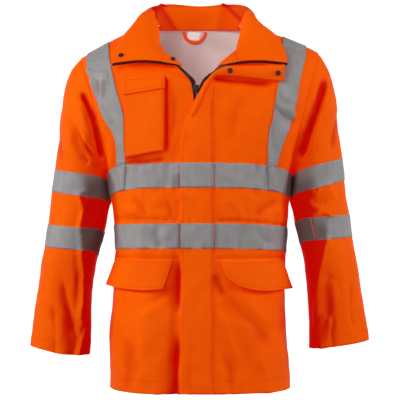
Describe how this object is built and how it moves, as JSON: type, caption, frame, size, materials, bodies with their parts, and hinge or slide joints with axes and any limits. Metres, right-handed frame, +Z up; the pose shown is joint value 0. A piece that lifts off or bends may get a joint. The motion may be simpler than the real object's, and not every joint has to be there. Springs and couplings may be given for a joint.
{
  "type": "hi-vis work jacket",
  "caption": "Hi-vis work jacket in coated orange cloth: hollow, open at neck, hem and cuffs, collar turned out, reflective bands, covered front zip, chest pocket and hip pocket flaps.",
  "frame": {"origin": "between the shoulders at the height of the neck seam, on the plane of the shoulder seams, where a wearer holds the jacket up", "axes": "+Z up along the back, -Y out of the front, +X towards the wearer's left"},
  "size_m": [0.7072, 0.3132, 0.8169],
  "materials": {
    "coated_cloth": "fluorescent orange woven polyester with a thin coating, satin",
    "reflective_tape": "grey glass-bead reflective tape, satin",
    "zip_tape": "dark red-brown woven zip tape with moulded teeth",
    "zip_metal": "dark enamel, semi-gloss",
    "snap_dark": "dark enamel, semi-gloss",
    "label_cloth": "blank woven label, matt"
  },
  "bodies": {
    "jacket": {"back": "coated_cloth", "chest_pocket": "coated_cloth", "chest_pocket_flap": "coated_cloth", "chest_tape_back_left": "reflective_tape", "chest_tape_back_right": "reflective_tape", "chest_tape_flap": "reflective_tape", "chest_tape_left": "reflective_tape", "chest_tape_right": "reflective_tape", "collar": "coated_cloth", "front_left": "coated_cloth", "front_right": "coated_cloth", "hanger_loop": "coated_cloth", "lapel_left": "coated_cloth", "lapel_right": "coated_cloth", "neck_label": "label_cloth", "pocket_flap_left": "coated_cloth", "pocket_flap_right": "coated_cloth", "shoulder_tape_back_left": "reflective_tape", "shoulder_tape_back_right": "reflective_tape", "shoulder_tape_front_left": "reflective_tape", "shoulder_tape_front_right": "reflective_tape", "sleeve_left": "coated_cloth", "sleeve_right": "coated_cloth", "sleeve_tape_lower_left": "reflective_tape", "sleeve_tape_lower_right": "reflective_tape", "sleeve_tape_upper_left": "reflective_tape", "sleeve_tape_upper_right": "reflective_tape", "snap_collar_right": "snap_dark", "snap_flap_end": "snap_dark", "snap_flap_middle": "snap_dark", "snap_lapel_right": "snap_dark", "storm_flap": "coated_cloth", "storm_flap_top": "coated_cloth", "waist_tape_back_left": "reflective_tape", "waist_tape_back_right": "reflective_tape", "waist_tape_flap": "reflective_tape", "waist_tape_left": "reflective_tape", "waist_tape_right": "reflective_tape", "zip_left": "zip_tape", "zip_right": "zip_tape", "zip_slider": "zip_metal"},
    "pull_tab": {"zip_pull": "zip_metal"}
  },
  "joints": [
    {"name": "zip_pull_hinge", "type": "hinge", "parent": "jacket", "child": "pull_tab", "pos_m": [-0.0066, -0.1242, -0.12775], "axis": [-1, 0, 0], "range_deg": [0, 150]}
  ]
}
